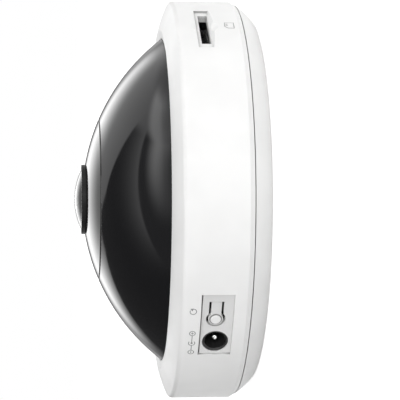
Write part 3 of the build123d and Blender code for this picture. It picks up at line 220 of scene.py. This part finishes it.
def backdrop_light(g, up, near, across):
    """The bright backdrop on the left: from 0 to 1 where it is, and its level."""
    edge = g.line(up, BACKDROP_SLOPE, BACKDROP_EDGE)
    share = g.step(g.minus(edge, near), -BACKDROP_BLUR, BACKDROP_BLUR)
    near_level = g.step(up, *BACKDROP_RISE, BACKDROP_LOW, BACKDROP_HIGH)
    far_level = g.step(across, *BACKDROP_FOOT_RANGE, BACKDROP_FOOT, BACKDROP_FAR)
    level = g.blend(g.step(near, *BACKDROP_FAR_RANGE), near_level, far_level)
    low_fade = g.step(up, *BACKDROP_LOW_RANGE, DARK_SIDE, 1.0)
    end_fade = g.step(near, *BACKDROP_END_RANGE, DARK_SIDE, 1.0)
    return share, g.times(level, low_fade, end_fade)


SCREEN_EDGE = 0.01
SCREEN_SLOPE = -0.25
SCREEN_BLUR = 0.03
SCREEN_DEPTH = 0.45
SCREEN_POWER = 3.0
SCREEN_LIGHT = 0.85
SCREEN_SPILL = 0.10
SCREEN_RANGE = (-0.62, -0.02)


def screen_light(g, up, near):
    """A screen that grows brighter towards its edge, and the faint light past that edge."""
    edge = g.line(up, SCREEN_SLOPE, SCREEN_EDGE)
    along = g.math("DIVIDE", g.minus(near, edge), SCREEN_DEPTH)
    rising = g.math("POWER", g.math("MAXIMUM", g.plus(along, 1.0), 0.0), SCREEN_POWER)
    inside = g.step(along, SCREEN_BLUR, -SCREEN_BLUR)
    screen = g.times(rising, inside, g.step(up, *SCREEN_RANGE), SCREEN_LIGHT)
    return g.plus(screen, g.step(along, -SCREEN_BLUR, SCREEN_BLUR, 0.0, SCREEN_SPILL))


STRIP_PLACE = 0.26
STRIP_SLOPE = -0.37
STRIP_RISE = 0.16
STRIP_FALL = 0.20
STRIP_BEND = 0.40
STRIP_LEAN = -1.0
STRIP_LIGHT = 2.2
STRIP_RANGE = (-0.25, 0.42)


def strip_light(g, up, near):
    """A sloping strip light: its level, and how far each direction is from its middle."""
    past_bend = g.math("MAXIMUM", g.minus(up, STRIP_BEND), 0.0)
    middle = g.plus(g.line(up, STRIP_SLOPE, STRIP_PLACE), g.times(past_bend, STRIP_LEAN))
    off_strip = g.minus(near, middle)
    rise = g.step(off_strip, -STRIP_RISE, 0.0)
    fall = g.step(off_strip, STRIP_FALL, 0.0, 0.0, STRIP_LIGHT)
    return g.times(rise, fall, g.step(up, *STRIP_RANGE)), off_strip


TOP_LIGHT = 0.95
TOP_RANGE = (0.40, 0.48)
GLOW_LIGHT = 1.3
GLOW_RANGE = (0.17, 0.03)
CROWN_SHADE = 0.62
CROWN_RANGE = (0.60, 0.68)
TIP_SHADE = 0.42
TIP_RANGE = (1.235, 1.31)
FRONT_LIGHT = 0.60
FRONT_RANGE = (0.32, 0.50)
CORNER_SHADE = 0.30
CORNER_RANGE = (0.95, 1.40)
LEFT_LIGHT = 0.30
LEFT_RANGE = (-0.5, -1.0)


def studio_light(g):
    """The light's level in each direction.

    Gloss mirrors a darker crown and far top. All else is lit with a shaded corner at the top left and
    a glow from the left.
    """
    direction = g.add("ShaderNodeTexCoord").outputs["Generated"]
    up = g.dot(direction, PICTURE_UP)
    near = g.dot(direction, TO_VIEWER)
    across = g.dot(direction, PICTURE_RIGHT)

    backdrop_share, backdrop = backdrop_light(g, up, near, across)
    strip, off_strip = strip_light(g, up, near)
    side = g.plus(screen_light(g, up, near), strip, DARK_SIDE)
    high = g.step(up, *TOP_RANGE)
    on_strip = g.step(g.math("ABSOLUTE", off_strip), *GLOW_RANGE, 0.0, GLOW_LIGHT)
    glow = g.times(high, on_strip, g.step(up, *CROWN_RANGE, 1.0, 0.0))
    level = g.plus(g.blend(backdrop_share, g.blend(high, side, TOP_LIGHT), backdrop), glow)
    level = g.blend(g.step(near, *FRONT_RANGE), level, FRONT_LIGHT)

    corner = g.step(g.minus(up, across), *CORNER_RANGE, 1.0, CORNER_SHADE)
    plain = g.plus(g.times(level, corner), g.step(across, *LEFT_RANGE, 0.0, LEFT_LIGHT))
    tip = g.step(g.minus(up, near), *TIP_RANGE, 1.0, TIP_SHADE)
    mirrored = g.times(level, g.step(up, *CROWN_RANGE, 1.0, CROWN_SHADE), tip)
    return g.blend(g.seen_by("Is Glossy Ray"), plain, mirrored)


def light_world():
    """The studio's light, with a white background for the camera and for what shows through glass."""
    world = bpy.data.worlds.new("studio")
    world.use_nodes = True
    bpy.context.scene.world = world
    g = Graph(world.node_tree)
    studio, white = g.add("ShaderNodeBackground"), g.add("ShaderNodeBackground")
    for background, strength in ((studio, studio_light(g)), (white, 1.0)):
        background.inputs["Color"].default_value = WHITE
        g.feed(background.inputs["Strength"], strength)
    mix = g.add("ShaderNodeMixShader")
    g.link(g.seen_by("Is Camera Ray", "Is Transmission Ray"), mix.inputs[0])
    g.link(studio.outputs[0], mix.inputs[1])
    g.link(white.outputs[0], mix.inputs[2])
    out = g.add("ShaderNodeOutputWorld")
    g.link(mix.outputs[0], out.inputs["Surface"])


# Soft square lamps: direction from the object as (picture right, picture up, to the viewer), size in
# metres and power in watts
LAMP_DISTANCE = 1.6
LAMPS = {
    "front_light": ((-0.05, 0.25, 0.95), 1.1, 11.2),
    "low_light": ((-0.50, -0.36, 0.79), 0.9, 3.0),
    "top_light": ((-0.10, 0.92, 0.38), 0.9, 5.0),
}


def light_lamps():
    """Area lamps that point at the middle of the object."""
    middle = (cad_low + cad_high) / 2
    for name, ((right, up, near), size, power) in LAMPS.items():
        data = bpy.data.lights.new(name, "AREA")
        data.size = size
        data.energy = power
        lamp = bpy.data.objects.new(name, data)
        towards = (PICTURE_RIGHT * right + PICTURE_UP * up + TO_VIEWER * near).normalized()
        turn = towards.to_track_quat("Z", "Y").to_matrix().to_4x4()
        lamp.matrix_world = Matrix.Translation(middle + towards * LAMP_DISTANCE) @ turn
        bpy.context.collection.objects.link(lamp)


def new_material(name):
    """A material with one shader: returns it, its graph and the shader."""
    material = bpy.data.materials.new(name)
    material.use_nodes = True
    g = Graph(material.node_tree)
    shader = g.add("ShaderNodeBsdfPrincipled")
    out = g.add("ShaderNodeOutputMaterial")
    g.link(shader.outputs[0], out.inputs["Surface"])
    return material, g, shader


# Each noise is (scale per metre, detail), and each range is where its spread begins and ends
WEAR_RANGE = (0.3, 0.7)
PLASTIC_TONE = (60, 2)
PLASTIC_TONE_RANGE = (0.35, 0.65)
PLASTIC_WEAR = (180, 4)
PLASTIC_GRAIN_DETAIL = 2
POLISH_TONE = (35, 2)
POLISH_WEAR = (120, 5)
POLISH_WEAR_RANGE = (0.35, 0.75)
POLISH_RIPPLE_DETAIL = 1
METAL_TONE = (250, 4)
METAL_WEAR = (700, 4)
METAL_GRAIN_DETAIL = 3
GLASS_WEAR = (400, 3)
GLASS_WEAR_RANGE = (0.4, 0.9)
BOARD_WEAR = (300, 3)
PAPER_TONE = (40, 3)
PAPER_WEAR = (900, 3)


def wear(g, shader, noise, span, rough):
    """Gloss that varies with a noise between two values of roughness."""
    g.link(g.step(g.noise(*noise), *span, *rough), shader.inputs["Roughness"])


def bump(g, shader, height, depth):
    """Surface relief of a real depth in metres."""
    node = g.add("ShaderNodeBump")
    node.inputs["Strength"].default_value = 1.0
    node.inputs["Distance"].default_value = depth
    g.link(height, node.inputs["Height"])
    g.link(node.outputs[0], shader.inputs["Normal"])


FLOOR_SIZE = 6.0
FLOOR_DROP = 0.0002
FLOOR_DARK = (0.86, 0.86, 0.86)
FLOOR_LIGHT = (0.90, 0.90, 0.90)
FLOOR_ROUGH = (0.75, 0.9)
FLOOR_GLOSS = 0.1
FLOOR_GLOW = 0.7


def lay_floor():
    """A pale floor under the back face, which keeps the shadow.

    What sees the floor, but isn't lit by it, sees it with a glow that makes it white.
    """
    mesh = bpy.data.meshes.new("floor")
    half = FLOOR_SIZE / 2
    corners = [(-half, -half), (half, -half), (half, half), (-half, half)]
    mesh.from_pydata([(x, y, cad_low.z - FLOOR_DROP) for x, y in corners], [], [(0, 1, 2, 3)])
    floor = bpy.data.objects.new("floor", mesh)
    bpy.context.collection.objects.link(floor)
    material, g, shader = new_material("floor_paper")
    g.link(g.colours(g.noise(*PAPER_TONE), FLOOR_DARK, FLOOR_LIGHT), shader.inputs["Base Color"])
    wear(g, shader, PAPER_WEAR, WEAR_RANGE, FLOOR_ROUGH)
    shader.inputs["Specular IOR Level"].default_value = FLOOR_GLOSS
    shader.inputs["Emission Color"].default_value = WHITE
    seen = g.seen_by("Is Camera Ray", "Is Glossy Ray", "Is Transmission Ray")
    g.link(g.times(seen, FLOOR_GLOW), shader.inputs["Emission Strength"])
    mesh.materials.append(material)


CREASE_REACH = 0.0025
PANEL_ANGLE = radians(234.3)
PANEL_OUT = Vector((cos(PANEL_ANGLE), sin(PANEL_ANGLE), 0))
# Painted highlight on the reset tongue's raised dot: heights along the panel's outward direction where it
# begins and where it is full
DOT_HIGHLIGHT_RISE = (0.0636, 0.0638)


def moulded(name, dark, light, rough, grain, depth, painted_crease_tone=None, gloss=0.5, dot=None):
    """Moulded plastic: slow colour drift, uneven gloss and a fine grain.

    It may have a painted tone in its creases, which is painted shade in the white parts and a painted
    lighter ring in the jack, and the reset tongue's raised dot may have a lighter colour as a painted
    highlight.
    """
    material, g, shader = new_material(name)
    colour = g.colours(g.step(g.noise(*PLASTIC_TONE), *PLASTIC_TONE_RANGE), dark, light)
    # Painted tone in creases: ambient occlusion sets another colour in creases and recesses, painted shade
    # in the white parts and a painted lighter ring in the jack
    if painted_crease_tone:
        colour = g.colours(g.open_share(CREASE_REACH), painted_crease_tone, colour)
    # Painted highlight: the raised dot is made lighter, for the light its convex face catches
    if dot:
        colour = g.colours(g.step(g.dot(g.place(), PANEL_OUT), *DOT_HIGHLIGHT_RISE), colour, dot)
    g.link(colour, shader.inputs["Base Color"])
    wear(g, shader, PLASTIC_WEAR, WEAR_RANGE, rough)
    shader.inputs["Specular IOR Level"].default_value = gloss
    bump(g, shader, g.noise(grain, PLASTIC_GRAIN_DETAIL), depth)
    return material


def polished(name, dark, light, rough, ripple, depth):
    """Polished plastic: a deep colour under a clear, very slightly rippled face."""
    material, g, shader = new_material(name)
    g.link(g.colours(g.noise(*POLISH_TONE), dark, light), shader.inputs["Base Color"])
    wear(g, shader, POLISH_WEAR, POLISH_WEAR_RANGE, rough)
    bump(g, shader, g.noise(ripple, POLISH_RIPPLE_DETAIL), depth)
    return material


def metal(name, dark, light, rough, grain, depth):
    """Bare or plated metal with an uneven polish."""
    material, g, shader = new_material(name)
    shader.inputs["Metallic"].default_value = 1.0
    g.link(g.colours(g.noise(*METAL_TONE), dark, light), shader.inputs["Base Color"])
    wear(g, shader, METAL_WEAR, WEAR_RANGE, rough)
    bump(g, shader, g.noise(grain, METAL_GRAIN_DETAIL), depth)
    return material


GLASS_ROUGH = (0.0, 0.02)
GLASS_COATING = 0.05
# Painted shade in the lens glass: its colour, and the distances from the axis where it begins and where it
# is full
EDGE_SHADE_COLOUR = (0.02, 0.02, 0.022)
EDGE_SHADE_RADII = (0.0020, 0.0062)


def glass(name, tint, edge_tint, index, painted_edge_shade=False):
    """Coated optical glass with a faint tint that changes towards the edge, and that may carry painted
    shade: a tint darkening away from the axis, for the black edge and dark barrel seen through the glass.
    """
    material, g, shader = new_material(name)
    colour = g.colours(g.add("ShaderNodeLayerWeight").outputs["Facing"], tint, edge_tint)
    if painted_edge_shade:
        # Painted shade: the glass's colour darkens away from the axis
        colour = g.colours(g.step(g.off_axis(), *EDGE_SHADE_RADII), colour, EDGE_SHADE_COLOUR)
    g.link(colour, shader.inputs["Base Color"])
    wear(g, shader, GLASS_WEAR, GLASS_WEAR_RANGE, GLASS_ROUGH)
    shader.inputs["Transmission Weight"].default_value = 1.0
    shader.inputs["IOR"].default_value = index
    shader.inputs["Specular IOR Level"].default_value = GLASS_COATING
    return material


TRACKS_PER_METRE = 160.0
TRACK_WIDTH = 0.03
TRACK_DEPTH = 30 * MICRON
MASK_DARK = (0.010, 0.075, 0.028, 1)
MASK_LIGHT = (0.012, 0.090, 0.034, 1)
MASK_OVER_TRACK = (0.020, 0.150, 0.060, 1)
MASK_ROUGH = (0.28, 0.4)


def circuit_board(name):
    """Green solder mask with faint tracks under it."""
    material, g, shader = new_material(name)
    tracks = g.add("ShaderNodeTexBrick", offset=0.5, squash=1.0)
    g.link(g.place(), tracks.inputs["Vector"])
    tracks.inputs["Scale"].default_value = TRACKS_PER_METRE
    tracks.inputs["Mortar Size"].default_value = TRACK_WIDTH
    tracks.inputs["Color1"].default_value = MASK_DARK
    tracks.inputs["Color2"].default_value = MASK_LIGHT
    tracks.inputs["Mortar"].default_value = MASK_OVER_TRACK
    g.link(tracks.outputs["Color"], shader.inputs["Base Color"])
    wear(g, shader, BOARD_WEAR, WEAR_RANGE, MASK_ROUGH)
    bump(g, shader, tracks.outputs["Fac"], TRACK_DEPTH)
    return material


# For each slot of the record: kind, darkest and lightest colour, least and most roughness, grains per
# metre and their depth in micrometres
FINISHES = {
    "white_shell": (moulded, (0.87, 0.87, 0.865), (0.90, 0.90, 0.895), (0.36, 0.46), 2600, 4),
    # panel_white is a darker grey than white_shell as painted shade for the recessed port panel
    "panel_white": (moulded, (0.74, 0.74, 0.735), (0.78, 0.78, 0.775), (0.4, 0.5), 3000, 6),
    "plate_white": (moulded, (0.80, 0.80, 0.79), (0.84, 0.84, 0.83), (0.45, 0.6), 1800, 8),
    "dome_black": (polished, (0.006, 0.006, 0.007), (0.009, 0.009, 0.010), (0.05, 0.09), 45, 4),
    "cap_black": (polished, (0.006, 0.006, 0.006), (0.009, 0.009, 0.009), (0.07, 0.12), 60, 4),
    "bezel_black": (moulded, (0.005, 0.005, 0.005), (0.009, 0.009, 0.009), (0.30, 0.40), 3000, 4),
    "barrel_black": (metal, (0.020, 0.020, 0.022), (0.035, 0.035, 0.037), (0.35, 0.5), 4000, 4),
    "inner_black": (moulded, (0.010, 0.010, 0.010), (0.018, 0.018, 0.018), (0.5, 0.7), 1500, 10),
    "seal_rubber": (moulded, (0.018, 0.018, 0.018), (0.03, 0.03, 0.03), (0.65, 0.85), 1200, 10),
    "chassis_grey": (metal, (0.38, 0.39, 0.40), (0.50, 0.51, 0.52), (0.38, 0.55), 900, 10),
    "screw_steel": (metal, (0.42, 0.42, 0.42), (0.58, 0.57, 0.56), (0.2, 0.35), 2500, 6),
    "standoff_brass": (metal, (0.62, 0.44, 0.18), (0.74, 0.54, 0.25), (0.22, 0.34), 2000, 4),
    "ribbon_white": (moulded, (0.70, 0.71, 0.73), (0.80, 0.81, 0.82), (0.3, 0.45), 800, 6),
    "socket_beige": (moulded, (0.60, 0.55, 0.44), (0.68, 0.63, 0.52), (0.4, 0.55), 2200, 5),
    "chip_black": (moulded, (0.015, 0.015, 0.016), (0.028, 0.028, 0.029), (0.5, 0.65), 3500, 5),
    "pad_grey": (moulded, (0.30, 0.32, 0.35), (0.38, 0.40, 0.43), (0.6, 0.8), 900, 20),
    "sink_aluminium": (metal, (0.66, 0.67, 0.68), (0.78, 0.79, 0.80), (0.3, 0.45), 1600, 8),
    "lamp_clear": (polished, (0.30, 0.26, 0.20), (0.42, 0.37, 0.28), (0.05, 0.12), 500, 4),
    "coil_copper": (metal, (0.60, 0.25, 0.11), (0.74, 0.36, 0.18), (0.2, 0.35), 2600, 20),
    "magnet_steel": (metal, (0.40, 0.40, 0.41), (0.52, 0.52, 0.53), (0.2, 0.3), 2000, 4),
    "jack_black": (moulded, (0.005, 0.005, 0.005), (0.009, 0.009, 0.009), (0.40, 0.52), 2600, 6),
    "pin_chrome": (metal, (0.62, 0.62, 0.61), (0.74, 0.74, 0.73), (0.1, 0.18), 3000, 2),
    "switch_white": (moulded, (0.74, 0.74, 0.72), (0.80, 0.80, 0.78), (0.4, 0.5), 2200, 4),
    "socket_steel": (metal, (0.45, 0.45, 0.45), (0.60, 0.60, 0.59), (0.2, 0.34), 2400, 4),
    "carriage_black": (moulded, (0.012, 0.012, 0.012), (0.02, 0.02, 0.02), (0.4, 0.55), 2200, 5),
    "contact_gold": (metal, (0.78, 0.56, 0.22), (0.88, 0.66, 0.30), (0.12, 0.22), 2600, 2),
}
# The painted tone in creases is painted shade in the white parts and a painted lighter ring in the jack;
# dot is a painted highlight on the reset tongue's raised dot
EXTRAS = {
    "white_shell": {"painted_crease_tone": (0.40, 0.40, 0.395), "gloss": 0.15},
    "panel_white": {"painted_crease_tone": (0.42, 0.42, 0.415), "gloss": 0.15, "dot": (0.90, 0.90, 0.895)},
    "bezel_black": {"gloss": 0.20},
    "jack_black": {"painted_crease_tone": (0.24, 0.24, 0.24)},
}
LENS_INDEX = 1.45
FILTER_INDEX = 1.5


def make_materials():
    """One material for each slot of the record."""
    made = {
        "lens_glass": glass("lens_glass", (0.98, 0.99, 1.0), (0.93, 0.97, 0.99), LENS_INDEX, True),
        "filter_glass": glass("filter_glass", (0.80, 0.95, 0.93), (0.90, 0.72, 0.80), FILTER_INDEX),
        "board_green": circuit_board("board_green"),
    }
    for slot, (kind, dark, light, rough, grain, depth) in FINISHES.items():
        extras = EXTRAS.get(slot, {})
        made[slot] = kind(slot, dark, light, rough, grain, depth * MICRON, **extras)
    return made


def dress_nodes(materials):
    """Every CAD node takes the finish of its slot."""
    for node in nodes.values():
        for slot in node.material_slots:
            slot.material = materials[slot.material.name]


# Small printed signs on the band: angle round the lens's axis in degrees, and height above the back
# in millimetres, as all their sizes are
BAND_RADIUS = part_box("front_housing")[1].x / MM
PRINT_LIFT = 0.02
PRINT_LINE = 0.22
ARC_POINTS = 40
JACK_SIGN = (228.75, 22.95)
RESET_SIGN = (239.5, 23.1)
CARD_SIGN = (325.15, 10.25)


def ring_points(centre, radius, start=0, end=360):
    """Points on an arc, in degrees."""
    turns = [radians(start + (end - start) * i / ARC_POINTS) for i in range(ARC_POINTS + 1)]
    return [(centre[0] + radius * cos(t), centre[1] + radius * sin(t)) for t in turns]


def print_sign(name, place, strokes, fills, material):
    """A sign that follows the band's curve, made of lines and filled outlines."""
    angle, height = place
    radius = BAND_RADIUS + PRINT_LIFT

    def on_band(point):
        turn = radians(angle) + point[0] / radius
        return Vector((radius * cos(turn), radius * sin(turn), height + point[1])) * MM

    bm = bmesh.new()
    for points in strokes:
        left, right = [], []
        for i, point in enumerate(points):
            before = Vector(points[max(i - 1, 0)])
            after = Vector(points[min(i + 1, len(points) - 1)])
            along = (after - before).normalized()
            side = Vector((-along.y, along.x)) * PRINT_LINE / 2
            left.append(bm.verts.new(on_band(Vector(point) + side)))
            right.append(bm.verts.new(on_band(Vector(point) - side)))
        for i in range(len(points) - 1):
            bm.faces.new((left[i], right[i], right[i + 1], left[i + 1]))
    for points in fills:
        bm.faces.new([bm.verts.new(on_band(point)) for point in points])
    bmesh.ops.recalc_face_normals(bm, faces=bm.faces)
    mesh = bpy.data.meshes.new(name)
    bm.to_mesh(mesh)
    bm.free()
    mesh.materials.append(material)
    sign = bpy.data.objects.new(name, mesh)
    bpy.context.collection.objects.link(sign)
    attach(sign, "camera")


# The polarity sign: a pole on each side, the plug's open sleeve between them, and its pin
POLE_OFFSET = 4.0
POLE_RADIUS = 0.85
POLE_MARK = 0.4
SLEEVE_RADIUS = 0.95
SLEEVE_ARC = (50, 310)
PIN_RADIUS = 0.33


def print_jack_sign(ink):
    """The power jack's polarity: minus to the sleeve, plus to the pin."""
    minus, plus = -POLE_OFFSET, POLE_OFFSET
    strokes = [
        ring_points((minus, 0), POLE_RADIUS),
        [(minus - POLE_MARK, 0), (minus + POLE_MARK, 0)],
        [(minus + POLE_RADIUS, 0), (-SLEEVE_RADIUS, 0)],
        ring_points((0, 0), SLEEVE_RADIUS, *SLEEVE_ARC),
        [(0, 0), (plus - POLE_RADIUS, 0)],
        ring_points((plus, 0), POLE_RADIUS),
        [(plus - POLE_MARK, 0), (plus + POLE_MARK, 0)],
        [(plus, -POLE_MARK), (plus, POLE_MARK)],
    ]
    pin = ring_points((0, 0), PIN_RADIUS)[:-1]
    print_sign("jack_sign", JACK_SIGN, strokes, [pin], ink)


RESET_RADIUS = 0.95
RESET_ARC = (60, 360)
RESET_HEAD = [(1.05, 0.95), (1.1, -0.1), (0.15, 0.25)]


def print_reset_sign(ink):
    """An arrow that turns back on itself."""
    print_sign("reset_sign", RESET_SIGN, [ring_points((0, 0), RESET_RADIUS, *RESET_ARC)], [RESET_HEAD], ink)


CARD_OUTLINE = [(-1.7, -1.4), (1.7, -1.4), (1.7, 1.4), (-0.8, 1.4), (-1.7, 0.5), (-1.7, -1.4)]
CONTACT_PLACES = (-0.3, 0.3, 0.9)
CONTACT_ENDS = (0.5, 1.1)


def print_card_sign(ink):
    """A memory card with its cut corner and its contacts."""
    contacts = [[(x, end) for end in CONTACT_ENDS] for x in CONTACT_PLACES]
    print_sign("card_sign", CARD_SIGN, [CARD_OUTLINE, *contacts], [], ink)


INK_DARK = (0.20, 0.20, 0.20)
INK_LIGHT = (0.26, 0.26, 0.26)
INK_ROUGH = (0.5, 0.65)
INK_GRAIN = 3000
INK_DEPTH = 3 * MICRON


def print_signs():
    """Generic signs beside the jack, the reset tongue and the card slot."""
    ink = moulded("print_ink", INK_DARK, INK_LIGHT, INK_ROUGH, INK_GRAIN, INK_DEPTH)
    print_jack_sign(ink)
    print_reset_sign(ink)
    print_card_sign(ink)


bpy.context.scene.view_settings.view_transform = "Standard"
place_camera()
light_world()
light_lamps()
lay_floor()
dress_nodes(make_materials())
print_signs()
